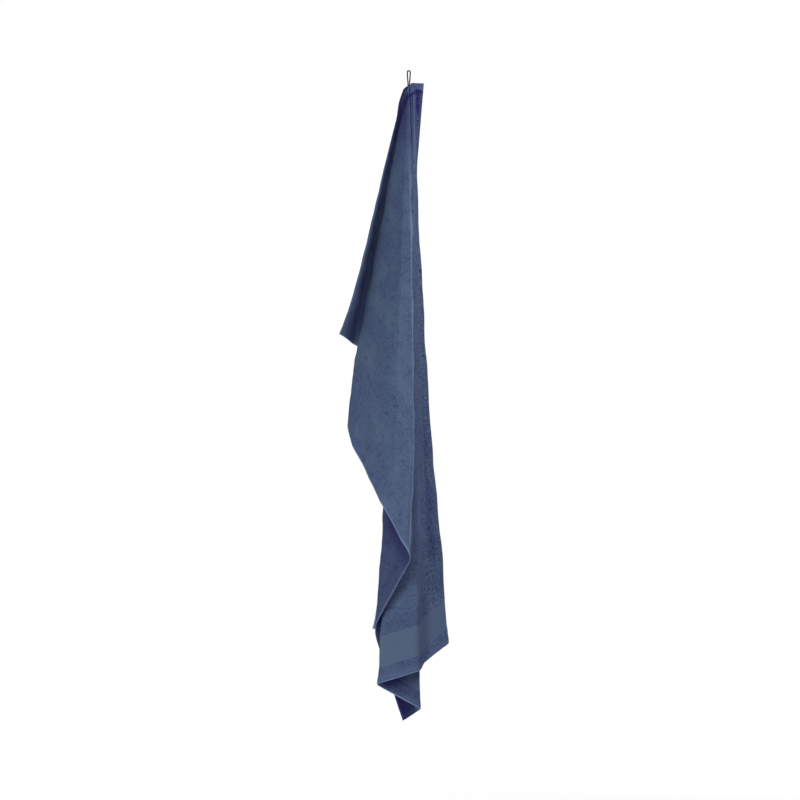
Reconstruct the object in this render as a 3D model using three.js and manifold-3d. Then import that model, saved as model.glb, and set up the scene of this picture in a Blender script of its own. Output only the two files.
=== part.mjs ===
import * as THREE from 'three';
import { mergeVertices } from 'three/addons/utils/BufferGeometryUtils.js';
import Module from 'manifold-3d';

// A terry bath towel that hangs in long folds from the cord loop at one end of its top hem.
// Millimetres, +Z up, +X to the right and +Y away from someone in front of the towel.
// The origin is where a hook carries the loop: the inside of the loop's top.

// The cloth, laid flat: a 700 by 1400 mm towel that washing has shrunk a little
const TOWEL_WIDTH = 685;
const TOWEL_LENGTH = 1380;
const LOOP_TO_NEAR_EDGE = 37;
const LOOP_TO_FAR_EDGE = TOWEL_WIDTH - LOOP_TO_NEAR_EDGE;
const THICKNESS = 3;
const GATHERED_THICKNESS = 1;

const FAR_CORNER = THREE.MathUtils.radToDeg(Math.atan2(TOWEL_LENGTH, LOOP_TO_FAR_EDGE));

// Terry gives a little across its weave, most at 45 degrees to its threads.
const BIAS_STRETCH = 0.072;

// The cord loop
const CORD = 3.1;
const LOOP_WIDTH = 11;
const LOOP_FOOT_WIDTH = 6.8;
const LOOP_SEAT = 34.9;
const SEAT_GAP = 0.3;
const LEG_STEPS = 5;
const ARCH_STEPS = 12;
const CORD_SIDES = 12;

// All folds run straight out from the seat, where the loop is sewn to the hem.
const SEAT = new THREE.Vector3(0.5, 0, -LOOP_SEAT);

// How the folded layers lie on each other: eight layers, counted from the front
const LAYERS_CENTRE = 4.5;
const LAYER_STEP = 4.3;
const GATHERED_STEP = 1.6;
const GATHER_LENGTH = 200;
const FOLDS_START = 20;
const SPREAD_LENGTH = 150;

// The gathered cloth under the seat: half its width at some depths below the seat
const GATHER = [
  { down: 0, half: 4.2 },
  { down: 4, half: 8 },
  { down: 10, half: 12 },
  { down: 16, half: 14 },
  { down: 21, half: 13.6 },
  { down: 24, half: 11 },
];
const GATHER_FLATNESS = 0.68;
const GATHER_SIDES = 20;

// The folds, in the order in which the cloth runs through them from its top hem to its near edge.
// flat: angle from the top hem on the flat cloth, in degrees, where it is known
// turn: 1 where the cloth turns left as seen from above, -1 where it turns right
// faces: the side of the fold that is its outermost line
// side, lean: where that line is at the seat, and how it leans per mm
// kick, power: how far its end bends aside, and how late it does
// spread: how far it is moved at the gather, so that the layers there have room to turn
// depth: how it leans away from the front per mm
// layer, nested: its place in the stack of layers, and the layer steps in its radius there
// round: how its radius grows per mm
// steps: the columns of cloth between this fold and the next one
// corner: where the far bottom corner of the towel is on that stretch
// A kick or spread that isn't given is none.
const FOLDS = [
  { name: 'top hem', flat: 0, turn: 1, faces: 'end', side: -14, lean: -0.222,
    kick: -16, power: 8, spread: 5, depth: -0.08, layer: 8, nested: 0, round: 0, steps: 4 },
  { name: 'flap bend', turn: -1, faces: 'back', side: -4, lean: -0.176,
    depth: 0.1, layer: 8, nested: 1, round: 0.03, steps: 3 },
  { name: 'back right', flat: 25, turn: -1, faces: 'right', side: 0, lean: 0.009, spread: 5,
    depth: 0.16, layer: 7.5, nested: 0.5, round: 0.012, steps: 4 },
  { name: 'front left', flat: 36.8, turn: 1, faces: 'left', side: -3.8, lean: -0.191, kick: 15, power: 8,
    depth: 0.087, layer: 4, nested: 3, round: 0.012, steps: 2 },
  { name: 'first shoulder', flat: 40.6, turn: 1, faces: 'middle', side: -2.5, lean: -0.131,
    depth: 0.031, layer: 1.5, nested: 0.5, round: 0.02, steps: 2 },
  { name: 'second shoulder', flat: 46.4, turn: 1, faces: 'middle', side: -2, lean: -0.071,
    depth: -0.053, layer: 1.5, nested: 0.5, round: 0.02, steps: 2 },
  { name: 'third shoulder', flat: 50.8, turn: 1, faces: 'middle', side: -1.6, lean: -0.024,
    depth: -0.107, layer: 1.5, nested: 0.5, round: 0.02, steps: 2 },
  { name: 'front right', flat: 54.2, turn: 1, faces: 'right', side: 0.8, lean: 0.0175, kick: -16, power: 5,
    depth: -0.136, layer: 1.5, nested: 0.5, round: 0.004, steps: 3 },
  { name: 'dark left', flat: 60, turn: -1, faces: 'left', side: 2.6, lean: -0.063,
    kick: -2, power: 20, spread: -6.5,
    depth: -0.059, layer: 3.5, nested: 1.5, round: 0.012, steps: 4, corner: true },
  { name: 'inner right', flat: 66.4, turn: -1, faces: 'right', side: 0, lean: 0.0185, spread: 4.5,
    depth: -0.003, layer: 4.5, nested: 0.5, round: 0.005, steps: 3 },
  { name: 'inner left', flat: 71, turn: 1, faces: 'left', side: 5, lean: -0.0525,
    kick: -6, power: 5, spread: -5, depth: -0.059, layer: 3.5, nested: 0.5, round: 0.004, steps: 2 },
  { name: 'ridge', flat: 73.9, turn: 1, faces: 'front', side: 3, lean: 0.0085,
    depth: -0.068, layer: 3, nested: 0.5, round: 0.008, steps: 2 },
  { name: 'valley', flat: 76, turn: -1, faces: 'back', side: 5, lean: 0.029, spread: 0.6,
    depth: -0.037, layer: 3, nested: 0.2, round: 0.007, steps: 2 },
  { name: 'right edge', flat: 82.7, turn: 1, faces: 'right', side: 8.5, lean: 0.046,
    kick: 26, power: 3, spread: 6, depth: 0.031, layer: 4, nested: 2, round: 0.018, steps: 3 },
];

// The near edge runs down from the near corner of the top hem, behind the folds, and bends aside
// at its lower end. The top hem of this strip stands a little higher than the seat.
const NEAR_EDGE = {
  side: 37.5,
  lean: -0.088,
  kick: -8,
  power: 30,
  depth: 0.077,
  layer: 6,
  rise: 6,
  riseFrom: 5.2,
  riseTo: 7.4,
};

// How finely the cloth is divided
const ROWS = 28;
const ROW_CROWDING = 1.3;
const STRIP_PARTS = [0, 0.14, 0.2, 0.6, 1];
const HEM_ROWS = 2;

const radians = THREE.MathUtils.degToRad;
const smooth = (x) => THREE.MathUtils.smoothstep(x, 0, 1);
const mix = THREE.MathUtils.lerp;
const opened = (r) => smooth(r / GATHER_LENGTH);
const layerStep = (r) => mix(GATHERED_STEP, LAYER_STEP, opened(r));
const thickness = (r) => mix(GATHERED_THICKNESS, THICKNESS, opened(r));

// How far the hanging cloth reaches from the seat at an angle below its top hem
function reach(flat) {
  const angle = radians(flat);
  const toFarEdge = flat < 89 ? LOOP_TO_FAR_EDGE / Math.cos(angle) : Infinity;
  const toBottom = flat > 1 ? TOWEL_LENGTH / Math.sin(angle) : Infinity;
  return Math.min(toFarEdge, toBottom) * (1 + BIAS_STRETCH * Math.sin(2 * angle) ** 2);
}

// One fold at a distance from the seat, seen from above: a small circle that the cloth turns round
const INWARD = { left: [1, 0], right: [-1, 0], front: [0, 1], back: [0, -1], middle: [0, 0], end: [0, 0] };

function foldCircle(fold, r) {
  const radius = fold.nested * layerStep(r) + fold.round * r;
  const isSide = fold.faces === 'left' || fold.faces === 'right';
  const inset = radius + (isSide ? thickness(r) / 2 : 0);
  const { side, lean, depth, layer, kick = 0, power = 1, spread = 0 } = fold;
  const bend = kick * (r / reach(fold.flat ?? 75)) ** power;
  const x = side + lean * r + bend + spread * Math.exp(-r / SPREAD_LENGTH);
  const y = depth * r + (layer - LAYERS_CENTRE) * layerStep(r);
  const [inX, inY] = INWARD[fold.faces];
  const centre = new THREE.Vector2(x + inX * inset, y + inY * inset);
  return { centre, radius: fold.faces === 'end' ? 0 : radius, turn: fold.turn, flat: fold.flat };
}

function nearEdge(r) {
  const kick = NEAR_EDGE.kick * (r / TOWEL_LENGTH) ** NEAR_EDGE.power;
  const x = NEAR_EDGE.side + NEAR_EDGE.lean * r + kick;
  const y = NEAR_EDGE.depth * r + (NEAR_EDGE.layer - LAYERS_CENTRE) * layerStep(r);
  return { centre: new THREE.Vector2(x, y), radius: 0, turn: 1, flat: 90 };
}

// The cloth's way round all the circles: how it heads into each turn, and how far it swings there
function wayRound(r) {
  const circles = [...FOLDS.map((fold) => foldCircle(fold, r)), nearEdge(r)];
  const headings = [];
  for (let k = 0; k + 1 < circles.length; k += 1) {
    const [a, b] = [circles[k], circles[k + 1]];
    const way = b.centre.clone().sub(a.centre);
    const across = (b.turn * b.radius - a.turn * a.radius) / way.length();
    headings.push(way.angle() - Math.asin(THREE.MathUtils.clamp(across, -1, 1)));
  }
  return circles.map((circle, k) => {
    const from = headings[Math.max(0, k - 1)];
    const to = headings[Math.min(headings.length - 1, k)];
    let swing = THREE.MathUtils.euclideanModulo((to - from) * circle.turn, 2 * Math.PI);
    if (swing > 1.7 * Math.PI) swing -= 2 * Math.PI;
    return { ...circle, r, from, swing };
  });
}

// A point on one turn, part 0 to 1 of the way through it
function onTurn(circle, part) {
  const heading = circle.from + circle.turn * circle.swing * part;
  const reachOut = circle.turn * circle.radius;
  return new THREE.Vector2(
    circle.centre.x + reachOut * Math.sin(heading),
    circle.centre.y - reachOut * Math.cos(heading),
  );
}

// The columns of the cloth. Each leaves its fold, crosses a panel or arrives at the next fold;
// past the right edge fold they cross to the line below the seat, and then the strip to the near edge.
function columnList() {
  const columns = [];
  const turnSteps = (fold) => (fold.faces === 'left' || fold.faces === 'right' ? 2 : 1);
  FOLDS.forEach((fold, k) => {
    const isLast = k + 1 === FOLDS.length;
    for (let s = 0; s < turnSteps(fold) && k > 0; s += 1) {
      columns.push({ k, on: 'leave', part: s / turnSteps(fold) });
    }
    for (let s = 0; s < fold.steps; s += 1) {
      const even = s / fold.steps;
      columns.push({ k, on: 'panel', part: fold.corner ? partByCorner(k, even) : even });
    }
    const next = isLast ? 0 : turnSteps(FOLDS[k + 1]);
    for (let s = 0; s < next; s += 1) columns.push({ k, on: 'arrive', part: s / next });
  });
  STRIP_PARTS.forEach((part) => columns.push({ k: FOLDS.length - 1, on: 'strip', part }));
  return columns;
}

// Spaces the columns of a panel so that the middle one ends in the towel's far bottom corner
function partByCorner(k, even) {
  const circles = wayRound(reach(FAR_CORNER));
  const [start, end] = [0, 1].map((part) => flatAngle(circles, { k, on: 'panel', part }));
  const corner = (FAR_CORNER - start) / (end - start);
  return even < 0.5 ? 2 * even * corner : mix(corner, 1, 2 * even - 1);
}

// The share of the last panel that lies before the line straight below the seat
function shareBeforeStrip(r) {
  const before = radians(90 - FOLDS.at(-1).flat) * r;
  return before / (before + LOOP_TO_NEAR_EDGE);
}

function onWay(circles, column, r) {
  const [a, b] = [circles[column.k], circles[column.k + 1]];
  if (column.on === 'leave') return onTurn(a, 0.5 + column.part / 2);
  if (column.on === 'arrive') return onTurn(b, column.part / 2);
  const isLast = column.k + 1 === FOLDS.length;
  const share = isLast ? shareBeforeStrip(r) : 1;
  const part = column.on === 'strip' ? mix(share, 1, column.part) : share * column.part;
  return onTurn(a, 1).lerp(onTurn(b, 0), part);
}

// The angle on the flat cloth of a column: between two known folds it follows the length of the way
function flatAngle(circles, column) {
  if (column.on === 'strip') return 90;
  const half = (circle) => (Math.abs(circle.swing) * circle.radius) / 2;
  const straight = (k) => {
    const length = onTurn(circles[k], 1).distanceTo(onTurn(circles[k + 1], 0));
    return k + 1 === FOLDS.length ? length * shareBeforeStrip(circles[k].r) : length;
  };
  const whole = (k) => half(circles[k]) + straight(k) + half(circles[k + 1]);
  const { k, on, part } = column;
  const along = {
    leave: half(circles[k]) * part,
    panel: half(circles[k]) + straight(k) * part,
    arrive: half(circles[k]) + straight(k) + half(circles[k + 1]) * part,
  }[on];
  let before = k;
  while (circles[before].flat === undefined) before -= 1;
  let after = k + 1;
  while (circles[after].flat === undefined) after += 1;
  let done = along;
  let all = 0;
  for (let n = before; n < after; n += 1) {
    if (n < k) done += whole(n);
    all += whole(n);
  }
  return mix(circles[before].flat, circles[after].flat, done / all);
}

// A point of the cloth's middle surface, at its own distance from the seat
function drape(column, r) {
  if (column.on === 'strip') return drapeStrip(column.part, r);
  const p = onWay(wayRound(r), column, r);
  const down = Math.sqrt(r * r - p.x * p.x - p.y * p.y);
  return new THREE.Vector3(p.x, p.y, -down).add(SEAT);
}

// A point of the strip along the near edge, down from the top hem
function drapeStrip(part, down) {
  const r = Math.max(down, FOLDS_START);
  const circles = wayRound(r);
  const inner = onWay(circles, { k: FOLDS.length - 1, on: 'strip', part: 0 }, r);
  const start = new THREE.Vector3(inner.x, inner.y, -Math.sqrt(r * r - inner.x ** 2 - inner.y ** 2));
  start.multiplyScalar(down / r);
  const outer = nearEdge(down).centre;
  const fall = down * Math.sqrt(1 - NEAR_EDGE.lean ** 2 - NEAR_EDGE.depth ** 2);
  const end = new THREE.Vector3(outer.x, outer.y, -fall);
  const across = part * LOOP_TO_NEAR_EDGE;
  const { rise, riseFrom, riseTo } = NEAR_EDGE;
  start.lerp(end, part).z += rise * smooth((across - riseFrom) / (riseTo - riseFrom));
  return start.add(SEAT);
}

function columnEnd(column) {
  let r = TOWEL_LENGTH;
  for (let pass = 0; pass < 8; pass += 1) r = reach(flatAngle(wayRound(r), column));
  return r;
}

function clothGeometry() {
  const columns = columnList();
  const points = [];
  const thick = [];
  const at = new Map();
  columns.forEach((column, j) => {
    const end = columnEnd(column);
    const first = column.on === 'strip' ? -HEM_ROWS : 0;
    for (let i = first; i <= ROWS; i += 1) {
      const below = mix(FOLDS_START, end, Math.max(0, i / ROWS) ** ROW_CROWDING);
      const r = i < 0 ? FOLDS_START * (1 + i / HEM_ROWS) : below;
      at.set(`${i},${j}`, points.length);
      points.push(drape(column, r));
      const across = column.on === 'strip' ? 4 * column.part : 0;
      thick.push(Math.max(thickness(r), mix(GATHERED_THICKNESS, THICKNESS, smooth(across))));
    }
  });
  const quads = [];
  for (let j = 0; j + 1 < columns.length; j += 1) {
    const first = columns[j].on === 'strip' ? -HEM_ROWS : 0;
    for (let i = first; i < ROWS; i += 1) {
      quads.push([[i, j], [i + 1, j], [i + 1, j + 1], [i, j + 1]].map((ij) => at.get(ij.join())));
    }
  }
  return solidSheet(points, thick, quads);
}

// Gives a sheet its thickness: both faces, and walls along every free edge
function solidSheet(points, thick, quads) {
  const normals = points.map(() => new THREE.Vector3());
  for (const [a, b, c, d] of quads) {
    const cross = points[c].clone().sub(points[a]).cross(points[d].clone().sub(points[b]));
    for (const v of [a, b, c, d]) normals[v].add(cross);
  }
  const positions = [];
  for (const side of [1, -1]) {
    points.forEach((point, v) => {
      const out = normals[v].clone().normalize().multiplyScalar((side * thick[v]) / 2);
      positions.push(...point.clone().add(out).toArray());
    });
  }
  const under = points.length;
  const triangles = [];
  const edges = new Map();
  for (const quad of quads) {
    const [a, b, c, d] = quad;
    triangles.push(a, b, c, a, c, d, under + a, under + c, under + b, under + a, under + d, under + c);
    quad.forEach((v, n) => {
      const w = quad[(n + 1) % 4];
      if (!edges.delete(`${w},${v}`)) edges.set(`${v},${w}`, [v, w]);
    });
  }
  for (const [v, w] of edges.values()) {
    triangles.push(v, under + v, w, w, under + v, under + w);
  }
  const geometry = new THREE.BufferGeometry();
  geometry.setAttribute('position', new THREE.Float32BufferAttribute(positions, 3));
  geometry.setIndex(triangles);
  return geometry;
}

// The knot of cloth right under the seat, where all the folds run together: a small pear shape
function gatherGeometry() {
  const profile = GATHER.map(({ down, half }) => new THREE.Vector2(half, -down));
  profile.unshift(new THREE.Vector2(0, profile[0].y));
  profile.push(new THREE.Vector2(0, profile.at(-1).y));
  const geometry = new THREE.LatheGeometry(profile.reverse(), GATHER_SIDES);
  geometry.rotateX(Math.PI / 2);
  geometry.scale(1, GATHER_FLATNESS, 1);
  geometry.translate(SEAT.x, SEAT.y, SEAT.z);
  return geometry;
}

// The loop: a cord that rises from the hem, rounds over the hook and comes back down
function loopGeometry() {
  const half = (LOOP_WIDTH - CORD) / 2;
  const foot = (LOOP_FOOT_WIDTH - CORD) / 2;
  const top = CORD / 2;
  const bottom = -LOOP_SEAT + SEAT_GAP;
  const route = [];
  for (let s = 0; s <= LEG_STEPS; s += 1) {
    const part = s / LEG_STEPS;
    route.push(new THREE.Vector3(mix(foot, half, smooth(part)), 0, mix(bottom, top - half, part)));
  }
  for (let s = 1; s < ARCH_STEPS; s += 1) {
    const angle = (Math.PI * s) / ARCH_STEPS;
    route.push(new THREE.Vector3(half * Math.cos(angle), 0, top - half + half * Math.sin(angle)));
  }
  for (let s = LEG_STEPS; s >= 0; s -= 1) {
    route.push(new THREE.Vector3(-route[s].x, 0, route[s].z));
  }
  return cordAlong(route);
}

// A round cord along a route in the XZ plane, closed at both ends
function cordAlong(route) {
  const positions = [];
  const triangles = [];
  route.forEach((point, s) => {
    const along = route[Math.min(s + 1, route.length - 1)].clone().sub(route[Math.max(s - 1, 0)]);
    if (s === 0 || s === route.length - 1) along.x = 0;
    const aside = new THREE.Vector3(along.z, 0, -along.x).normalize();
    for (let n = 0; n < CORD_SIDES; n += 1) {
      const angle = (2 * Math.PI * n) / CORD_SIDES;
      const out = aside.clone().multiplyScalar(Math.cos(angle));
      out.y = Math.sin(angle);
      positions.push(...point.clone().addScaledVector(out, CORD / 2).toArray());
    }
  });
  for (let s = 0; s + 1 < route.length; s += 1) {
    for (let n = 0; n < CORD_SIDES; n += 1) {
      const [a, b] = [s * CORD_SIDES + n, s * CORD_SIDES + ((n + 1) % CORD_SIDES)];
      triangles.push(a, b, b + CORD_SIDES, a, b + CORD_SIDES, a + CORD_SIDES);
    }
  }
  const last = (route.length - 1) * CORD_SIDES;
  for (let n = 1; n + 1 < CORD_SIDES; n += 1) {
    triangles.push(0, n + 1, n, last, last + n, last + n + 1);
  }
  const geometry = new THREE.BufferGeometry();
  geometry.setAttribute('position', new THREE.Float32BufferAttribute(positions, 3));
  geometry.setIndex(triangles);
  return geometry;
}

// Solids for the cloth's one join
const library = await Module();
library.setup();

function solidOf(geometry) {
  const bare = geometry.clone();
  bare.deleteAttribute('normal');
  bare.deleteAttribute('uv');
  const merged = mergeVertices(bare, 1e-3);
  return new library.Manifold(new library.Mesh({
    numProp: 3,
    vertProperties: merged.attributes.position.array,
    triVerts: new Uint32Array(merged.index.array),
  }));
}

function geometryOf(solid) {
  const { vertProperties, triVerts } = solid.getMesh();
  const geometry = new THREE.BufferGeometry();
  geometry.setAttribute('position', new THREE.Float32BufferAttribute(vertProperties, 3));
  geometry.setIndex(Array.from(triVerts));
  return geometry;
}

const terry = new THREE.MeshStandardMaterial({ color: 0x3f5078, roughness: 1, metalness: 0 });
const cloth = solidOf(clothGeometry()).add(solidOf(gatherGeometry()));
const towel = new THREE.Mesh(geometryOf(cloth), terry);
towel.name = 'towel';

const cordBlack = new THREE.MeshStandardMaterial({ color: 0x1c1d20, roughness: 0.8, metalness: 0 });
const loop = new THREE.Mesh(loopGeometry(), cordBlack);
loop.name = 'hang_loop';

const object = new THREE.Group();
object.add(towel, loop);
export default object;
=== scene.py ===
import math

import bpy
import numpy as np
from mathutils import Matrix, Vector


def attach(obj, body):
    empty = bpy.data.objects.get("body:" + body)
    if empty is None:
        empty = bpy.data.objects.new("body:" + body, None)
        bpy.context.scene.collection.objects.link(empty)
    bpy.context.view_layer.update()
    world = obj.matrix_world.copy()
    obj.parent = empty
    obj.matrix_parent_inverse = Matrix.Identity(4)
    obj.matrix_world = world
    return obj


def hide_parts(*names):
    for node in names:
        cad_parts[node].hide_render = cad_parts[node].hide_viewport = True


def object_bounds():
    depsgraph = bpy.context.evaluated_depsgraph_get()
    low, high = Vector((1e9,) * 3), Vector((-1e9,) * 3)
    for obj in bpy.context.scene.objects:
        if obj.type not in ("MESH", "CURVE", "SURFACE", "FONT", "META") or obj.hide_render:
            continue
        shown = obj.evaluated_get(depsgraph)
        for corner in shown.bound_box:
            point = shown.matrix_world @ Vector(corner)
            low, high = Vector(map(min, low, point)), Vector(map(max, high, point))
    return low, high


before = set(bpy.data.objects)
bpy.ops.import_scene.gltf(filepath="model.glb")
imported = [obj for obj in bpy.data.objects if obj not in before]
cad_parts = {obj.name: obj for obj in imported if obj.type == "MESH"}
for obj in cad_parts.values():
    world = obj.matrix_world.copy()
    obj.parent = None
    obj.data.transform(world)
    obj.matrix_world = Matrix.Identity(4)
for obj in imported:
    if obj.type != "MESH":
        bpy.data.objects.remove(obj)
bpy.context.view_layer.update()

# The towel: one rectangle of navy cotton terry, hemmed at both ends, with a woven border above the
# bottom hem. It hangs from the seat, where the loop is sewn to its top hem near a corner. All its
# folds run straight out from there, so at each distance from the seat the cloth lies along one
# winding way round them. Sizes here are millimetres.
MM = 0.001
TOWEL_WIDTH, TOWEL_LENGTH = 685.0, 1380.0
LOOP_TO_NEAR_EDGE = 37.0
LOOP_TO_FAR_EDGE = TOWEL_WIDTH - LOOP_TO_NEAR_EDGE
FAR_CORNER = math.degrees(math.atan2(TOWEL_LENGTH, LOOP_TO_FAR_EDGE))
SEAT = np.array([0.5, 0.0, -34.9])

# Terry gives a little across its weave, most at 45 degrees to its threads
BIAS_STRETCH = 0.072

# How the layers lie on each other: pressed together at the seat, and opened out further down
LAYERS_CENTRE, LAYER_STEP, GATHERED_STEP = 4.5, 4.3, 1.6
LAYER_THICKNESS, GATHERED_THICKNESS = 3.0, 1.0
GATHER_LENGTH, FOLDS_START, SPREAD_LENGTH = 200.0, 20.0, 150.0
KNOT_ROUNDNESS = 0.75

# The folds, in the order in which the cloth runs through them from its top hem to its near edge.
# flat: angle from the top hem on the flat cloth, in degrees, where it is known
# turn: 1 where the cloth turns left as seen from above, -1 where it turns right
# faces: the side of the fold that is its outermost line
# side, lean: where that line is at the seat, and how it leans per mm
# kick, power: how far its end bends aside, and how late it does
# spread: how far it is moved at the seat, so that the layers there have room to turn
# depth: how it leans away from the front per mm
# layer, nested: its place in the stack of layers, and the layer steps in its radius there
# round: how its radius grows per mm
# steps: the columns of cloth between this fold and the next one
FOLD_COLUMNS = ("name", "flat", "turn", "faces", "side", "lean", "kick", "power", "spread",
                "depth", "layer", "nested", "round", "steps")
FOLDS = [dict(zip(FOLD_COLUMNS, row)) for row in (
    ("top hem", 0, 1, "end", -14, -0.222, -16, 8, 5, -0.08, 8, 0, 0, 14),
    ("flap bend", None, -1, "back", -4, -0.176, 0, 1, 0, 0.1, 8, 1, 0.03, 12),
    ("back right", 25, -1, "right", 0, 0.009, 0, 1, 5, 0.16, 7.5, 0.5, 0.012, 12),
    ("front left", 36.8, 1, "left", -3.8, -0.191, 15, 8, 0, 0.087, 4, 3, 0.012, 7),
    ("first shoulder", 40.6, 1, "middle", -2.5, -0.131, 0, 1, 0, 0.031, 1.5, 0.5, 0.02, 7),
    ("second shoulder", 46.4, 1, "middle", -2, -0.071, 0, 1, 0, -0.053, 1.5, 0.5, 0.02, 6),
    ("third shoulder", 50.8, 1, "middle", -1.6, -0.024, 0, 1, 0, -0.107, 1.5, 0.5, 0.02, 6),
    ("front right", 54.2, 1, "right", 0.8, 0.0175, -16, 5, 0, -0.136, 1.5, 0.5, 0.004, 10),
    ("dark left", 60, -1, "left", 2.6, -0.063, -2, 20, -6.5, -0.059, 3.5, 1.5, 0.012, 14),
    ("inner right", 66.4, -1, "right", 0, 0.0185, 0, 1, 4.5, -0.003, 4.5, 0.5, 0.005, 8),
    ("inner left", 71, 1, "left", 5, -0.0525, -6, 5, -5, -0.059, 3.5, 0.5, 0.004, 7),
    ("ridge", 73.9, 1, "front", 3, 0.0085, 0, 1, 0, -0.068, 3, 0.5, 0.008, 6),
    ("valley", 76, -1, "back", 5, 0.029, 0, 1, 0.6, -0.037, 3, 0.2, 0.007, 10),
    ("right edge", 82.7, 1, "right", 8.5, 0.046, 26, 3, 6, 0.031, 4, 2, 0.018, 12),
)]
INWARD = {"left": (1, 0), "right": (-1, 0), "front": (0, 1), "back": (0, -1), "middle": (0, 0),
          "end": (0, 0)}
TURN_STEPS = {"left": 4, "right": 4, "front": 2, "back": 2, "middle": 2, "end": 1}

# One fold is wider low down, where the cloth's free edge turns round it
WIDE_FOLD, WIDER_BY, WIDER_FROM, WIDER_WITHIN = "front right", 9.0, 900.0, 250.0

# The near edge hangs beside the last fold. The strip along it stands up beside the loop by the rise.
NEAR_EDGE = {"side": 37.5, "lean": -0.088, "kick": -8, "power": 30, "depth": 0.077, "layer": 6,
             "rise": 6, "rise_within": 5.2}


def smooth(x):
    """0 up to 0, 1 from 1, and a soft step between them."""
    x = np.clip(x, 0, 1)
    return x * x * (3 - 2 * x)


def mix(a, b, part):
    return a + (b - a) * part


def bump(x, half):
    """1 at 0, and 0 at half either way."""
    return smooth(1 - np.abs(x) / half)


def opened(r):
    """0 at the seat, and 1 where the gathered layers have opened out."""
    return smooth(r / GATHER_LENGTH)


def layer_step(r):
    return mix(GATHERED_STEP, LAYER_STEP, opened(r))


def stretch(flat):
    return 1 + BIAS_STRETCH * np.sin(2 * np.radians(flat)) ** 2


def reach(flat):
    """How far the cloth reaches from the seat at an angle below its top hem."""
    angle = np.radians(flat)
    to_far_edge = LOOP_TO_FAR_EDGE / np.maximum(np.cos(angle), 1e-6)
    to_bottom = TOWEL_LENGTH / np.maximum(np.sin(angle), 1e-6)
    return np.minimum(to_far_edge, to_bottom) * stretch(flat)


def near_edge(r):
    kick = NEAR_EDGE["kick"] * (r / TOWEL_LENGTH) ** NEAR_EDGE["power"]
    x = NEAR_EDGE["side"] + NEAR_EDGE["lean"] * r + kick
    y = NEAR_EDGE["depth"] * r + (NEAR_EDGE["layer"] - LAYERS_CENTRE) * layer_step(r)
    return np.stack([x, y], -1)


def way_round(r):
    """The cloth's way round all its folds at some distances r from the seat, seen from above."""
    centres, radii, turns = [], [], []
    for fold in FOLDS:
        radius = fold["nested"] * layer_step(r) + fold["round"] * r
        if fold["name"] == WIDE_FOLD:
            radius = radius + WIDER_BY * smooth((r - WIDER_FROM) / WIDER_WITHIN)
        is_side = fold["faces"] in ("left", "right")
        thickness = mix(GATHERED_THICKNESS, LAYER_THICKNESS, opened(r))
        inset = radius + (thickness / 2 if is_side else 0)
        # A fold whose angle on the flat cloth isn't known has no kick
        bend = fold["kick"] * (r / reach(fold["flat"] or 0)) ** fold["power"]
        x = fold["side"] + fold["lean"] * r + bend + fold["spread"] * np.exp(-r / SPREAD_LENGTH)
        y = fold["depth"] * r + (fold["layer"] - LAYERS_CENTRE) * layer_step(r)
        to_x, to_y = INWARD[fold["faces"]]
        centres.append(np.stack([x + to_x * inset, y + to_y * inset], -1))
        radii.append(radius * (fold["faces"] != "end"))
        turns.append(fold["turn"])
    centres.append(near_edge(r))
    radii.append(0 * r)
    turns.append(1)
    centres, radii, turns = np.array(centres), np.array(radii), np.array(turns)[:, None]
    way = centres[1:] - centres[:-1]
    across = (turns[1:] * radii[1:] - turns[:-1] * radii[:-1]) / np.linalg.norm(way, axis=-1)
    headings = np.arctan2(way[..., 1], way[..., 0]) - np.arcsin(np.clip(across, -1, 1))
    came = np.concatenate([headings[:1], headings])
    goes = np.concatenate([headings, headings[-1:]])
    swing = np.mod((goes - came) * turns, 2 * math.pi)
    # A swing of nearly a whole turn is a small one the other way
    swing[swing > 1.7 * math.pi] -= 2 * math.pi
    return {"r": r, "centre": centres, "radius": radii, "turn": turns, "from": came, "swing": swing}


def on_turn(way, k, part):
    """A point on the cloth's way round fold k, from where it comes to the fold to where it leaves."""
    heading = way["from"][k] + way["turn"][k] * way["swing"][k] * part
    out = way["turn"][k] * way["radius"][k]
    return way["centre"][k] + np.stack([out * np.sin(heading), -out * np.cos(heading)], -1)


def share_before_strip(r):
    """The share of the last panel that lies before the line straight below the seat."""
    before = np.radians(90 - FOLDS[-1]["flat"]) * r
    return before / (before + LOOP_TO_NEAR_EDGE)


def on_way(way, column, r):
    """A column's point: it leaves fold k, is on the panel or strip after it, or arrives at the next."""
    k, on, part = column
    if on == "leave":
        return on_turn(way, k, 0.5 + part / 2)
    if on == "arrive":
        return on_turn(way, k + 1, part / 2)
    share = share_before_strip(r) if k + 1 == len(FOLDS) else np.ones_like(r)
    part = mix(share, 1, part) if on == "strip" else share * part
    return mix(on_turn(way, k, 1), on_turn(way, k + 1, 0), part[..., None])


def flat_angle(way, column):
    """A column's angle on the flat cloth: between two known folds it follows the way's length."""
    k, on, part = column
    if on == "strip":
        return np.full(way["radius"].shape[1], 90.0)
    half = [np.abs(way["swing"][n]) * way["radius"][n] / 2 for n in range(len(FOLDS) + 1)]
    straight = [np.linalg.norm(on_turn(way, n + 1, 0) - on_turn(way, n, 1), axis=-1)
                for n in range(len(FOLDS))]
    straight[-1] = straight[-1] * share_before_strip(way["r"])
    known = [n for n in range(len(FOLDS)) if FOLDS[n]["flat"] is not None] + [len(FOLDS)]
    before, after = max(n for n in known if n <= k), min(n for n in known if n > k)
    done = {"leave": half[k] * part, "panel": half[k] + straight[k] * part,
            "arrive": half[k] + straight[k] + half[k + 1] * part}[on]
    whole = [half[n] + straight[n] + half[n + 1] for n in range(before, after)]
    end_flat = FOLDS[after]["flat"] if after < len(FOLDS) else 90.0
    return mix(FOLDS[before]["flat"], end_flat, (done + sum(whole[: k - before])) / sum(whole))


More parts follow.
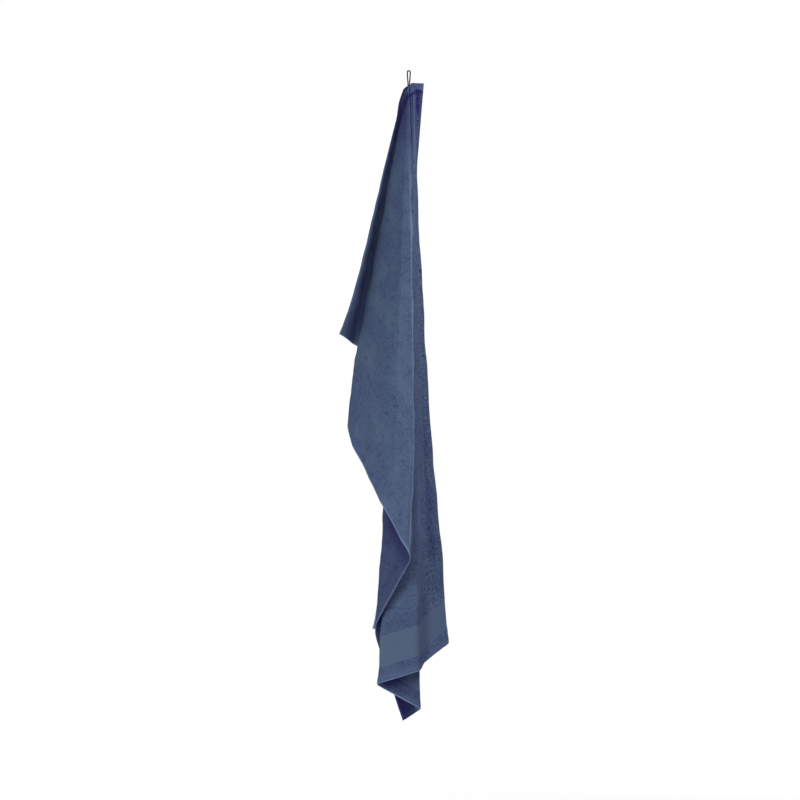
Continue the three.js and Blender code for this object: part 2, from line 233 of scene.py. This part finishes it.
def toward_seat(point, t):
    """Below the seat the layers run together in a small rounded knot."""
    t = np.clip(t, 0, 1)[..., None]
    round_out = np.sin(t * math.pi / 2) ** KNOT_ROUNDNESS
    return point * np.concatenate([round_out, round_out, t], -1)


def hang_down(xy, r, far):
    """Points at the places xy seen from above, as far from the seat as the cloth is long there."""
    down = np.sqrt(far ** 2 - (xy ** 2).sum(-1))
    return toward_seat(np.concatenate([xy, -down[:, None]], -1), r / FOLDS_START)


def drape(column, r):
    """A column's points in the cloth's middle, and their places on the flat cloth."""
    far = np.maximum(r, FOLDS_START)
    way = way_round(far)
    if column[1] == "strip":
        return drape_strip(way, column[2], r, far)
    points = hang_down(on_way(way, column, far), r, far)
    flat = flat_angle(way, column)
    lies = r / stretch(flat)
    return points + SEAT, lies * np.cos(np.radians(flat)), lies * np.sin(np.radians(flat))


def drape_strip(way, part, r, far):
    """The strip between the line straight below the seat and the near edge."""
    start = hang_down(on_way(way, (len(FOLDS) - 1, "strip", 0.0), far), r, far)
    fall = r * math.sqrt(1 - NEAR_EDGE["lean"] ** 2 - NEAR_EDGE["depth"] ** 2)
    end = np.concatenate([near_edge(r), -fall[:, None]], -1)
    points = mix(start, end, part)
    points[:, 2] += NEAR_EDGE["rise"] * smooth(part * LOOP_TO_NEAR_EDGE / NEAR_EDGE["rise_within"])
    return points + SEAT, np.full_like(r, -part * LOOP_TO_NEAR_EDGE), r


# The columns of the cloth: some round each fold and some across each panel between two folds.
# One of them runs into the far bottom corner.
HEM_CROWDING = 1.5
STRIP_PARTS = (0, 0.03, 0.06, 0.1, 0.14, 0.2, 0.28, 0.36, 0.44, 0.52, 0.6, 0.68, 0.76, 0.84, 0.9,
               0.96, 0.985, 1)


def panel_parts(k):
    """Where a panel's columns are, from 0 to 1 across it: they are closer at the top hem."""
    even = np.arange(FOLDS[k]["steps"]) / FOLDS[k]["steps"]
    if FOLDS[k]["name"] == "top hem":
        return even ** HEM_CROWDING
    if FOLDS[k]["name"] == "dark left":
        way = way_round(np.array([float(reach(FAR_CORNER))]))
        start, end = (float(flat_angle(way, (k, "panel", part))[0]) for part in (0.0, 1.0))
        corner = (FAR_CORNER - start) / (end - start)
        return np.where(even < 0.5, 2 * even * corner, mix(corner, 1, 2 * even - 1))
    return even


columns = []
for k, fold in enumerate(FOLDS):
    if k:
        steps = TURN_STEPS[fold["faces"]]
        columns += [(k, "leave", s / steps) for s in range(steps)]
    columns += [(k, "panel", float(part)) for part in panel_parts(k)]
    if k + 1 < len(FOLDS):
        steps = TURN_STEPS[FOLDS[k + 1]["faces"]]
        columns += [(k, "arrive", s / steps) for s in range(steps)]
columns += [(len(FOLDS) - 1, "strip", part) for part in STRIP_PARTS]

# The rows: some round the knot, then down the cloth, then closer along the woven border and the hem.
# END_ROWS are distances from the bottom edge.
KNOT_ROWS = (0.6, 2, 4.5, 8, 12, 16)
LONG_ROWS, ROW_CROWDING, LONG_ROWS_END = 140, 1.15, 118
END_ROWS = (112, 108, 96, 84, 72, 60, 48, 38, 34, 28, 22, 17, 14, 9, 5, 1.5, 0)
long_share = 1 - LONG_ROWS_END / TOWEL_LENGTH
row_part = [long_share * (i / LONG_ROWS) ** ROW_CROWDING for i in range(LONG_ROWS + 1)]
row_part = np.array(row_part + [1 - d / TOWEL_LENGTH for d in END_ROWS])

# A column's angle on the flat cloth depends on its length, and its length on that angle, so its end
# is found by trying
LENGTH_TRIES = 8
places, flat_u, flat_v, from_seat = [], [], [], []
for column in columns:
    end = np.array([TOWEL_LENGTH])
    for _ in range(LENGTH_TRIES):
        end = reach(flat_angle(way_round(end), column))
    r = np.concatenate([KNOT_ROWS, mix(FOLDS_START, end[0], row_part)])
    points, u, v = drape(column, r)
    places.append(points)
    flat_u.append(u)
    flat_v.append(v)
    from_seat.append(r)
places, from_seat = np.array(places), np.array(from_seat)
flat_u, flat_v = np.array(flat_u) + LOOP_TO_NEAR_EDGE, np.array(flat_v)
from_side = np.minimum(flat_u, TOWEL_WIDTH - flat_u)
from_end = np.minimum(flat_v, TOWEL_LENGTH - flat_v)
from_bottom = TOWEL_LENGTH - flat_v
flat_turn = np.degrees(np.arctan2(flat_v, np.maximum(flat_u - LOOP_TO_NEAR_EDGE, 0.01)))


def cloth_normals(grid):
    along = np.gradient(grid, axis=1)
    across = np.gradient(grid, axis=0)
    normal = np.cross(along, across)
    return normal / np.maximum(np.linalg.norm(normal, axis=-1, keepdims=True), 1e-9)


def past(distance, within):
    """0 up to a distance from the seat, and 1 where the cloth is further on by more than within."""
    return smooth((from_seat - distance) / within)


def span(begins, full, fades, ends):
    """0 nearer to the seat than begins, 1 from full to fades, and 0 again from ends."""
    return past(begins, full - begins) * smooth((ends - from_seat) / (ends - fades))


# Soft unevenness: seeded waves that grow away from the seat and are calmer near the cloth's edges
WAVES = (  # how many, their lengths across and along the cloth, and their height
    (5, 90, 420, 0.9),
    (8, 55, 260, 0.5),
    (10, 160, 200, 1.1),
    (6, 34, 90, 0.22),
)
WAVES_GROW = (60, 260)
CALM_WITHIN, CALM_SHARE = 60, 0.25
seeded = np.random.default_rng(7)
lift = np.zeros_like(from_seat)
for count, across_mm, along_mm, height in WAVES:
    for _ in range(count):
        turn_u, turn_r = seeded.uniform(0.6, 1.6, 2) * (1, seeded.choice((-1, 1)))
        phase = seeded.uniform(0, 2 * math.pi)
        swell = np.sin(2 * math.pi * (flat_u * turn_u / across_mm + flat_v * turn_r / along_mm) + phase)
        lift += height / math.sqrt(count) * swell * past(*WAVES_GROW)
lift *= mix(CALM_SHARE, 1, smooth(np.minimum(from_side, from_end) / CALM_WITHIN))

# The main creases below the middle: a trough down the front's right part, and a trough and a swell
# side by side down its left part
SWELLS = (  # angle on the flat cloth, half width in degrees, height, and its span from the seat
    (79.8, 2.4, -6.0, (300, 800, 1050, 1240)),
    (43.6, 2.4, -4.0, (500, 900, 1100, 1400)),
    (48.6, 2.2, 4.0, (500, 900, 1100, 1400)),
)
for angle, half, height, along in SWELLS:
    lift += height * bump(flat_turn - angle, half) * span(*along)
places += cloth_normals(places) * lift[..., None]

# The outline stands out in three places: to the left under the loop's foot, to the left at the front
# left fold's corner, and to the right low down on the right edge
FOOT_BULGE, FOOT_MIDDLE, FOOT_SIDE = 4.0, 46, 14
CORNER_BULGE, CORNER_Z, CORNER_HALF, CORNER_FLAT, CORNER_FLAT_HALF = 3.5, -915, 50, 38, 5
RIGHT_BULGE, RIGHT_MIDDLE, RIGHT_HALF, RIGHT_FROM, RIGHT_WITHIN = 5.0, 1130, 330, 38, 20
x, z = places[..., 0], places[..., 2]
x -= FOOT_BULGE * bump(from_seat - FOOT_MIDDLE, FOOT_MIDDLE) * smooth(-x / FOOT_SIDE)
x -= CORNER_BULGE * bump(z - CORNER_Z, CORNER_HALF) * bump(flat_turn - CORNER_FLAT, CORNER_FLAT_HALF)
x += RIGHT_BULGE * bump(from_seat - RIGHT_MIDDLE, RIGHT_HALF) * smooth((x - RIGHT_FROM) / RIGHT_WITHIN)

# Small creases run down from the loop's foot. They sink in and painted shade makes them darker, and
# where the depth is negative they stand out and a painted highlight makes them paler.
GATHERS = (  # x beside the seat, lean, half width, depth, and its span from the seat
    (1.5, -0.25, 8.0, 0.9, (15, 30, 75, 190)),
    (0.8, 0.045, 2.6, 1.0, (2, 8, 110, 230)),
    (-1.5, 0.04, 2.0, -0.6, (22, 34, 90, 140)),
    (12.0, 0.012, 3.2, -0.9, (16, 26, 120, 260)),
    (21.5, 0.0, 6.5, 1.4, (16, 21, 46, 110)),
    (28.6, -0.02, 1.6, 0.8, (16, 21, 60, 120)),
)
CREASE_DEPTH = 1.8
hollow = np.zeros_like(from_seat)
for x_seat, lean, half, depth, along in GATHERS:
    hollow += depth * span(*along) * bump(x - x_seat - lean * from_seat, half)
places[..., 1] += CREASE_DEPTH * hollow

# The cloth's thickness: full pile, less at the border and selvages, more in the rolled hems, rounded
# at its edges, and pressed thin in the gather but for the strip beside the loop
PILE, HEM, BORDER, SELVAGE, PRESSED = 3.2, 4.6, 2.0, 2.6, 0.9
HEM_DEPTH, BORDER_FROM, BORDER_TO, SELVAGE_WIDTH = 15.0, 36.0, 110.0, 6.0
RIM_WIDTH, RIM_SHARE, STRIP_FADE = 1.5, 0.45, 9
in_border = smooth((from_bottom - BORDER_FROM) / 3) * smooth((BORDER_TO - from_bottom) / 3)
thick = mix(PILE, BORDER, in_border)
thick = mix(thick, SELVAGE, smooth((SELVAGE_WIDTH + 1 - from_side) / 2))
thick = mix(thick, HEM, smooth((HEM_DEPTH + 1.5 - from_end) / 3))
thick *= mix(RIM_SHARE, 1, np.sqrt(np.clip(np.minimum(from_end, from_side) / RIM_WIDTH, 0, 1)))
in_strip = smooth((LOOP_TO_NEAR_EDGE - flat_u) / STRIP_FADE)
thick = mix(PRESSED, thick, np.maximum(opened(from_seat), in_strip))

# Painted shade between the layers, as numbers up to 1 at the cloth's points, because soft light alone
# leaves it too pale. A panel is its middle angle on the flat cloth and half its width, in degrees.
TROUGH, DARK_PANEL, INMOST_PANEL, NEXT_PANEL = (79.0, 2.4), (57.1, 3.4), (63.2, 3.4), (68.6, 2.6)
PANEL_FLATNESS = 0.4
TROUGH_SHADE, TROUGH_SPAN = 0.5, (700, 900, 1170, 1250)
INMOST_SHOWS, NEXT_SHOWS = (1330, 80), (1400, 60)


def on_panel(angle, half):
    """Close to 1 across a panel, and 0 from its folds."""
    return bump(flat_turn - angle, half) ** PANEL_FLATNESS


def below_edge(at, flat, slope):
    """How far the cloth lies below an edge that hangs in front of it.

    The edge is at a distance from the seat where it crosses an angle on the flat cloth, and that
    distance changes by the slope for each degree.
    """
    return from_seat - at - (flat_turn - flat) * slope


# Painted shade in the trough beside the right edge, and on the inmost panel at the bottom
hollow += TROUGH_SHADE * bump(flat_turn - TROUGH[0], TROUGH[1]) * span(*TROUGH_SPAN)
inmost = on_panel(*INMOST_PANEL) * past(*INMOST_SHOWS)
hollow += inmost

# Painted shade where the dark panel comes out from under the front's free edge, and the next one from
# under the hem
UNDER_FRONT_SHADE, UNDER_FRONT_LENGTH = 0.65, 75
UNDER_HEM_SHADE, UNDER_HEM_FULL, UNDER_HEM_LENGTH = 0.35, 6, 26
below_front = below_edge(1090, 58.8, -26)
painted_shade_under_front = UNDER_FRONT_SHADE * on_panel(*DARK_PANEL) * smooth(1 - below_front / UNDER_FRONT_LENGTH)
next_hem = on_panel(*NEXT_PANEL) * past(*NEXT_SHOWS)
below_hem = below_edge(1455, 66.4, 9.8)
painted_shade_under_hem = next_hem * smooth(1 - (below_hem - UNDER_HEM_FULL) / UNDER_HEM_LENGTH)
painted_shade_under_hem *= mix(UNDER_HEM_SHADE, 1, smooth((flat_turn - 67) / 3))

# Painted light: the border's and hem's right part is made paler, as if it caught more light, and so is
# the next panel further below the hem
LIT_FLAT, LIT_PAST = 76, (1240, 60)
NEXT_LIT, NEXT_LIT_FROM, NEXT_LIT_WITHIN = 0.6, 16, 20
painted_light = smooth((flat_turn - LIT_FLAT) / 2) * past(*LIT_PAST)
painted_light += NEXT_LIT * next_hem * smooth((below_hem - NEXT_LIT_FROM) / NEXT_LIT_WITHIN)

# Painted shade: the cloth's back is darkened all over but at its bottom hem, and its front only on the
# inmost panel
BACK_SHADE_TO, BACK_SHADE_FADE = 1330, 60
back_shade = smooth((BACK_SHADE_TO - flat_v) / BACK_SHADE_FADE)
shades = {
    "painted_back_shade": np.stack([inmost, back_shade]),
    "painted_shade_and_highlight": np.clip(np.stack([hollow, hollow + painted_shade_under_front + painted_shade_under_hem]), -1, 1),
    "painted_light": np.stack([painted_light, painted_light]),
}

# The mesh: the front and the back of the cloth, and a strip of faces along each of its four edges
half_thick = cloth_normals(places) * thick[..., None] / 2
both = np.concatenate([places + half_thick, places - half_thick])
front, back = np.arange(2 * from_seat.size).reshape(2, *from_seat.shape)
quads = [np.stack([front[:-1, :-1], front[:-1, 1:], front[1:, 1:], front[1:, :-1]], -1).reshape(-1, 4),
         np.stack([back[:-1, :-1], back[1:, :-1], back[1:, 1:], back[:-1, 1:]], -1).reshape(-1, 4)]
rims = ((front[0], back[0]), (front[:, -1], back[:, -1]), (front[-1, ::-1], back[-1, ::-1]),
        (front[::-1, 0], back[::-1, 0]))
for over, under in rims:
    quads.append(np.stack([over[:-1], under[:-1], under[1:], over[1:]], -1))
quads = np.concatenate(quads)
cloth_mesh = bpy.data.meshes.new("towel_cloth")
cloth_mesh.from_pydata((both.reshape(-1, 3) * MM).tolist(), [], quads.tolist())
flat_uv = np.stack([np.tile(flat_u.ravel(), 2), np.tile(flat_v.ravel(), 2)], -1) * MM
layer = cloth_mesh.uv_layers.new(name="flat_cloth")
layer.uv.foreach_set("vector", flat_uv[quads.ravel()].ravel())
for name, values in shades.items():
    attribute = cloth_mesh.attributes.new(name, "FLOAT", "POINT")
    attribute.data.foreach_set("value", values.ravel())
cloth_mesh.shade_smooth()
towel = bpy.data.objects.new("towel_cloth", cloth_mesh)
bpy.context.scene.collection.objects.link(towel)


class Thread:
    """One output of a node. Sums and products of it add the Math nodes that they need."""

    def __init__(self, tree, output=None):
        self.tree, self.output = tree, output

    def node(self, kind, settings=None, inputs=None, output=0):
        """A new node: its settings come first, and then the values or links of its sockets."""
        made = self.tree.nodes.new("ShaderNode" + kind)
        for name, value in (settings or {}).items():
            setattr(made, name, value)
        for name, value in (inputs or {}).items():
            if isinstance(value, Thread):
                self.tree.links.new(value.output, made.inputs[name])
            else:
                made.inputs[name].default_value = value
        return Thread(self.tree, made.outputs[output] if made.outputs else None)

    def maths(self, operation, *values):
        return self.node("Math", {"operation": operation}, dict(enumerate(values)))

    def __add__(self, other):
        return self.maths("ADD", self, other)

    def __mul__(self, other):
        return self.maths("MULTIPLY", self, other)

    def __sub__(self, other):
        return self.maths("SUBTRACT", self, other)

    def __rsub__(self, other):
        return self.maths("SUBTRACT", other, self)

    __radd__, __rmul__ = __add__, __mul__

    def least(self, other):
        return self.maths("MINIMUM", self, other)

    def between(self, low, high):
        """0 up to low, 1 from high, and a soft step between them."""
        inputs = {"Value": self, "From Min": low, "From Max": high}
        return self.node("MapRange", {"interpolation_type": "SMOOTHSTEP"}, inputs)

    def blend(self, a, b, kind="MIX"):
        """Colour a where this is 0 and colour b where it is 1. A Mix node's colours are at 6 and 7."""
        return self.node("Mix", {"data_type": "RGBA", "blend_type": kind}, {0: self, 6: a, 7: b}, 2)

    def tint(self, colour, by):
        """A colour as it is where this is 0, and multiplied by another one where this is 1."""
        return self.blend(colour, by, "MULTIPLY")


def new_material(name):
    material = bpy.data.materials.new(name)
    material.use_nodes = True
    material.node_tree.nodes.clear()
    return material, Thread(material.node_tree)


# The cloth's finish: looped cotton pile dyed navy, a smooth ribbed border woven without pile near
# the bottom end, hems rolled and sewn down with one line of thread, and firm selvages.
# Lengths in the shader are metres on the flat cloth.
PILE_HIGH = (0.047, 0.076, 0.124, 1)
PILE_LOW = (0.014, 0.020, 0.050, 1)
PILE_WORN = (0.056, 0.092, 0.131, 1)
BORDER_COLOUR = (0.043, 0.068, 0.098, 1)
HEM_COLOUR = (0.044, 0.064, 0.116, 1)
SELVAGE_AND_HIGHLIGHT_COLOUR = (0.098, 0.145, 0.200, 1)
# Painted shade and painted light, multiplied into the cloth's colour
BACK_SHADE = (0.56, 0.54, 0.66, 1)
HOLLOW_SHADE = (0.30, 0.20, 0.62, 1)
KNOT_SHADE = (0.60, 0.50, 0.70, 1)
PAINTED_LIGHT_TINT = (1.45, 1.50, 1.45, 1)

terry, start = new_material("towel_terry")
where = start.node("UVMap", {"uv_map": "flat_cloth"})
u = start.node("SeparateXYZ", inputs={"Vector": where}, output="X")
v = start.node("SeparateXYZ", inputs={"Vector": where}, output="Y")
seat_u = u - LOOP_TO_NEAR_EDGE * MM
seat_place = (LOOP_TO_NEAR_EDGE * MM, 0, 0)
from_knot = start.node("VectorMath", {"operation": "DISTANCE"}, {0: where, 1: seat_place}, "Value")
bottom_gap = TOWEL_LENGTH * MM - v
end_gap = v.least(bottom_gap)
side_gap = u.least(TOWEL_WIDTH * MM - u)
near_knot = 1 - from_knot.between(0.05, 0.13)

# Where each kind of cloth is, from 0 to 1. It goes over into the next between two distances.
TOP_HEM_END, BOTTOM_HEM_END, SELVAGE_END = (0.0185, 0.0205), (0.0145, 0.0160), (0.0025, 0.0048)
BORDER_BOTTOM, BORDER_TOP = (0.0355, 0.0370), (0.1090, 0.1105)
is_border = bottom_gap.between(*BORDER_BOTTOM) * (1 - bottom_gap.between(*BORDER_TOP))
is_hem = 2 - v.between(*TOP_HEM_END) - bottom_gap.between(*BOTTOM_HEM_END)
is_selvage = 1 - side_gap.between(*SELVAGE_END)

# The pile's grain is drawn out sideways on the panels beside the near edge
OUTER_FROM = math.radians(76)
OUTER_DRAW = 0.5
outer = start.maths("MAXIMUM", v * math.cos(OUTER_FROM) - seat_u * math.sin(OUTER_FROM), 0.0)
is_outer = outer.between(0.0, 0.012)
lay = start.node("CombineXYZ", inputs={"X": u + outer * OUTER_DRAW, "Y": v})


def grain(size, detail=2, rough=0.5, stretch_u=1.0, stretch_v=1.0):
    """Cloudy noise on the flat cloth, with features about size metres across."""
    scaled = start.node("VectorMath", {"operation": "MULTIPLY"}, {0: lay, 1: (stretch_u, stretch_v, 1)})
    inputs = {"Vector": scaled, "Scale": 1 / size, "Detail": detail, "Roughness": rough}
    return start.node("TexNoise", {"noise_dimensions": "2D"}, inputs)


# The pile: loops in tufts, with clouds that are worn paler, dark blotches, and flecks that show most
# on the panels beside the near edge. It is darker towards the bottom.
LOOP_SIZE = 0.0024
loops = start.node("TexVoronoi", {"voronoi_dimensions": "2D", "feature": "SMOOTH_F1"},
                   {"Vector": lay, "Scale": 1 / LOOP_SIZE, "Smoothness": 0.4})
loops = 1 - loops.between(0.05, 0.85)
tufts = grain(0.006, 3, 0.6)
clouds = grain(0.055, 3, 0.55, 1.0, 0.6)
blotches = grain(0.018, 2, 0.6)
flecks = grain(0.0055, 2, 0.65)
pile_height = loops * 0.65 + tufts * 0.7
pile_colour = pile_height.between(-0.1, 0.95).blend(PILE_LOW, PILE_HIGH)
pile_colour = (clouds.between(0.42, 0.72) * 0.6).blend(pile_colour, PILE_WORN)
pile_colour = (blotches.between(0.54, 0.80) * 0.45).blend(pile_colour, PILE_LOW)
pile_colour = (flecks.between(0.56, 0.70) * (is_outer * 0.5 + 0.15)).blend(pile_colour, SELVAGE_AND_HIGHLIGHT_COLOUR)
pile_colour = ((1 - flecks.between(0.30, 0.46)) * (is_outer * 0.6 + 0.1)).blend(pile_colour, PILE_LOW)
pile_colour = ((1 - bottom_gap.between(0.12, 0.22)) * 0.32).blend(pile_colour, PILE_LOW)

# The border's fine ribs, the hems, and the pale line of the selvages and of the bottom hem's edge
RIB_PITCH = 0.0016
ribs = start.maths("SINE", v * (2 * math.pi / RIB_PITCH)) * 0.5 + 0.5
streaks = grain(0.004, 2, 0.5, 0.25, 1.0)
border_colour = (streaks.between(0.3, 0.7) * 0.35).blend(BORDER_COLOUR, HEM_COLOUR)
cloth_colour = is_border.blend(pile_colour, border_colour)
cloth_colour = (is_hem * 0.6).blend(cloth_colour, HEM_COLOUR)
edge_line = is_selvage * (from_knot.between(0.10, 0.30) + is_hem).least(1.0)
edge_line = edge_line + (1 - bottom_gap.between(0.0010, 0.0030))
cloth_colour = (edge_line * 0.75).least(1.0).blend(cloth_colour, SELVAGE_AND_HIGHLIGHT_COLOUR)

# A painted highlight runs along the sharp fold down the middle of the front, where its crest catches
# the light
FRONT_FOLD = math.radians(54.2)
painted_fold_highlight = start.maths("ABSOLUTE", seat_u * math.sin(FRONT_FOLD) - v * math.cos(FRONT_FOLD))
painted_fold_highlight = (1 - painted_fold_highlight.between(0.0010, 0.0030)) * from_knot.between(0.12, 0.35) * (tufts * 0.5 + 0.55)
cloth_colour = painted_fold_highlight.blend(cloth_colour, SELVAGE_AND_HIGHLIGHT_COLOUR)

# Painted shade between the layers, along the top hem's seam and at its folded edge near the loop, and
# in the gather; painted light on the border's right part; and a painted highlight where the small
# creases stand out
painted_back_shade, painted_shade_and_highlight, painted_light = (start.node("Attribute", {"attribute_name": name}, output="Fac")
                             for name in ("painted_back_shade", "painted_shade_and_highlight", "painted_light"))
cloth_colour = painted_back_shade.tint(cloth_colour, BACK_SHADE)
cloth_colour = painted_light.tint(cloth_colour, PAINTED_LIGHT_TINT)
cloth_colour = (painted_shade_and_highlight * -0.8).between(0.0, 1.0).blend(cloth_colour, SELVAGE_AND_HIGHLIGHT_COLOUR)
SEAM_FROM, SEAM_TO, FOLDED_EDGE = (0.0185, 0.0210), (0.0230, 0.0300), (0.0008, 0.0026)
painted_seam_shade = end_gap.between(*SEAM_FROM) * (1 - end_gap.between(*SEAM_TO)) * near_knot * 0.8
painted_seam_shade = painted_seam_shade + (1 - end_gap.between(*FOLDED_EDGE)) * near_knot
cloth_colour = (painted_seam_shade + painted_shade_and_highlight.between(0.0, 1.0)).least(1.0).tint(cloth_colour, HOLLOW_SHADE)
painted_gather_shade = (1 - from_knot.between(0.03, 0.26)) * (1 - is_hem * 0.45)
cloth_colour = painted_gather_shade.tint(cloth_colour, KNOT_SHADE)

# The shader: rough pile with a faint sheen. A very weak violet glow is painted light: it stands for the
# light that scatters from fibre to fibre in the pile, and lifts the deep shade in the folds.
plain = (is_border + is_hem * 0.6 + is_selvage * 0.8).least(1.0)
height = (1 - plain) * pile_height + is_border * ribs * 0.12
bumped = start.node("Bump", inputs={"Height": height, "Strength": 0.75, "Distance": 0.0016})
shader = start.node("BsdfPrincipled", inputs={
    "Base Color": cloth_colour, "Roughness": 1.0, "Specular IOR Level": 0.15, "Normal": bumped,
    "Sheen Weight": 0.06, "Sheen Roughness": 0.4, "Sheen Tint": (0.55, 0.7, 1.0, 1),
    "Emission Color": (0.14, 0.08, 1.0, 1), "Emission Strength": 0.014})
start.node("OutputMaterial", inputs={"Surface": shader})
towel.data.materials.append(terry)
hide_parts("towel")
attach(towel, "root")

# The loop: one short length of round black braided cord, bent double with the towel hanging on its
# top. Its legs draw together downwards, and both ends are sewn into the top hem.
CORD, LOOP_WIDTH, LOOP_FOOT_WIDTH = 3.6, 11.0, 6.8
LOOP_BOTTOM = -39.0
LEG_STEPS, ARCH_STEPS, SIDES = 60, 42, 24
half = (LOOP_WIDTH - CORD) / 2
foot = (LOOP_FOOT_WIDTH - CORD) / 2
arch_middle = CORD / 2 - half
legs = np.linspace(0, 1, LEG_STEPS)
leg = np.stack([mix(foot, half, smooth(legs)), 0 * legs, mix(LOOP_BOTTOM, arch_middle, legs)], -1)
turns = np.linspace(0, math.pi, ARCH_STEPS)[1:-1]
arch = np.stack([half * np.cos(turns), 0 * turns, arch_middle + half * np.sin(turns)], -1)
route = np.concatenate([leg, arch, leg[::-1] * (-1, 1, 1)])
along = np.gradient(route, axis=0)
along /= np.linalg.norm(along, axis=-1, keepdims=True)
gone = np.concatenate([[0], np.cumsum(np.linalg.norm(np.diff(route, axis=0), axis=-1))])
backward = np.array((0, 1, 0))
aside = np.cross(along, backward)

# The braid: strands that wind round the cord both ways and stand up where they cross
STRANDS, TWIST, BRAID_DEPTH = 4, 1.9, 0.09
angles = np.arange(SIDES) * 2 * math.pi / SIDES
wound = gone[:, None] * TWIST
crossing = np.sin(STRANDS * angles + wound) * np.sin(STRANDS * angles - wound)
radius = CORD / 2 - BRAID_DEPTH + BRAID_DEPTH * crossing
round_cord = np.cos(angles)[:, None] * aside[:, None] + np.sin(angles)[:, None] * backward
rings = route[:, None] + radius[..., None] * round_cord
ring_at = np.arange(len(route) * SIDES).reshape(len(route), SIDES)
over = np.roll(ring_at, -1, axis=1)
cord_faces = np.stack([ring_at[:-1], over[:-1], over[1:], ring_at[1:]], -1).reshape(-1, 4).tolist()
cord_faces += [ring_at[0, ::-1].tolist(), ring_at[-1].tolist()]
cord_mesh = bpy.data.meshes.new("cord_loop")
cord_mesh.from_pydata((rings.reshape(-1, 3) * MM).tolist(), [], cord_faces)
cord_mesh.shade_smooth()
cord = bpy.data.objects.new("cord_loop", cord_mesh)
bpy.context.scene.collection.objects.link(cord)

CORD_DARK, CORD_LIGHT = (0.006, 0.006, 0.007, 1), (0.026, 0.026, 0.03, 1)
black, start = new_material("loop_cord")
place = start.node("TexCoord", output="Object")
threads = start.node("TexNoise", inputs={"Vector": place, "Scale": 2600, "Detail": 2})
cord_colour = threads.between(0.35, 0.7).blend(CORD_DARK, CORD_LIGHT)
bumped = start.node("Bump", inputs={"Height": threads, "Strength": 0.5, "Distance": 0.0002})
shader = start.node("BsdfPrincipled", inputs={
    "Base Color": cord_colour, "Roughness": 0.85, "Specular IOR Level": 0.2, "Normal": bumped})
start.node("OutputMaterial", inputs={"Surface": shader})
cord.data.materials.append(black)
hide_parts("hang_loop")
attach(cord, "root")

# The stage: a plain pale floor some way below the towel. Further out it goes over into the white of
# the background, and lights the towel from there as weakly as the background does.
FLOOR_DROP, FLOOR_RADIUS, FLOOR_SIDES = 0.36, 40, 64
FLOOR_COLOUR, WHITE = (0.86, 0.86, 0.86, 1), (1, 1, 1, 1)
FILL_COLOUR, FILL_STRENGTH = (0.55, 0.36, 1.0, 1), 0.24
floor_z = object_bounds()[0][2] - FLOOR_DROP
ring = [(FLOOR_RADIUS * math.cos(a), FLOOR_RADIUS * math.sin(a), floor_z)
        for a in np.linspace(0, 2 * math.pi, FLOOR_SIDES + 1)[:-1]]
floor_mesh = bpy.data.meshes.new("floor")
floor_mesh.from_pydata(ring, [], [list(range(FLOOR_SIDES))])
floor = bpy.data.objects.new("floor", floor_mesh)
bpy.context.scene.collection.objects.link(floor)
pale, start = new_material("pale_floor")
place = start.node("TexCoord", output="Object")
far_out = start.node("VectorMath", {"operation": "LENGTH"}, {0: place}, "Value").between(2.2, 3.4)
matte = start.node("BsdfDiffuse", inputs={"Color": FLOOR_COLOUR})
white = start.node("Emission", inputs={"Color": WHITE, "Strength": 1.0})
glow = start.node("Emission", inputs={"Color": FILL_COLOUR, "Strength": FILL_STRENGTH})
seen = start.node("LightPath", output="Is Camera Ray")
white = start.node("MixShader", inputs={0: seen, 1: glow, 2: white})
surface = start.node("MixShader", inputs={0: far_out, 1: matte, 2: white})
start.node("OutputMaterial", inputs={"Surface": surface})
floor.data.materials.append(pale)

# The light: a large soft light high in front, two weaker ones near the towel at its right and low at
# its left, and one behind it. Faint violet light comes from all round, where the camera sees white.
LIGHTS = (  # name, place, size, power
    ("top_light", (0.7, -4.2, 2.4), 1.2, 112),
    ("right_light", (1.15, -0.8, 0.4), 0.5, 29),
    ("left_light", (-1.4, -1.9, -1.35), 1.2, 58),
    ("back_light", (-0.6, 3.4, 1.6), 1.6, 150),
)
LIGHT_COLOUR = (1.0, 1.0, 0.93)
AIM = Vector((0, 0, -0.8))
for name, spot, size, power in LIGHTS:
    lamp = bpy.data.lights.new(name, "AREA")
    lamp.size, lamp.energy, lamp.color = size, power, LIGHT_COLOUR
    light = bpy.data.objects.new(name, lamp)
    light.location = spot
    light.visible_camera = False
    light.rotation_euler = (AIM - light.location).to_track_quat("-Z", "Y").to_euler()
    bpy.context.scene.collection.objects.link(light)
world = bpy.data.worlds.new("studio")
world.use_nodes = True
world.node_tree.nodes.clear()
sky = Thread(world.node_tree)
seen = sky.node("LightPath", output="Is Camera Ray")
fill = sky.node("Background", inputs={"Color": FILL_COLOUR, "Strength": FILL_STRENGTH})
shown = sky.node("Background", inputs={"Color": WHITE, "Strength": 1.0})
surface = sky.node("MixShader", inputs={0: seen, 1: fill, 2: shown})
sky.node("OutputWorld", inputs={"Surface": surface})
bpy.context.scene.world = world
bpy.context.scene.view_settings.view_transform = "Standard"

# The camera: level with the towel's middle and far off, so that it sees the folds as the photograph
# does. The picture is as wide as PICTURE_WIDTH at the front of the towel.
PICTURE_WIDTH = 2.0
PICTURE_MIDDLE = (-0.022, -0.8224)
CAMERA_FAR, TOWEL_FRONT = 14.0, -0.02
camera = bpy.data.objects.new("camera", bpy.data.cameras.new("camera"))
camera.location = (PICTURE_MIDDLE[0], TOWEL_FRONT - CAMERA_FAR, PICTURE_MIDDLE[1])
camera.rotation_euler = (math.pi / 2, 0, 0)
camera.data.lens = camera.data.sensor_width * CAMERA_FAR / PICTURE_WIDTH
camera.data.clip_end = 100
bpy.context.scene.collection.objects.link(camera)
bpy.context.scene.camera = camera
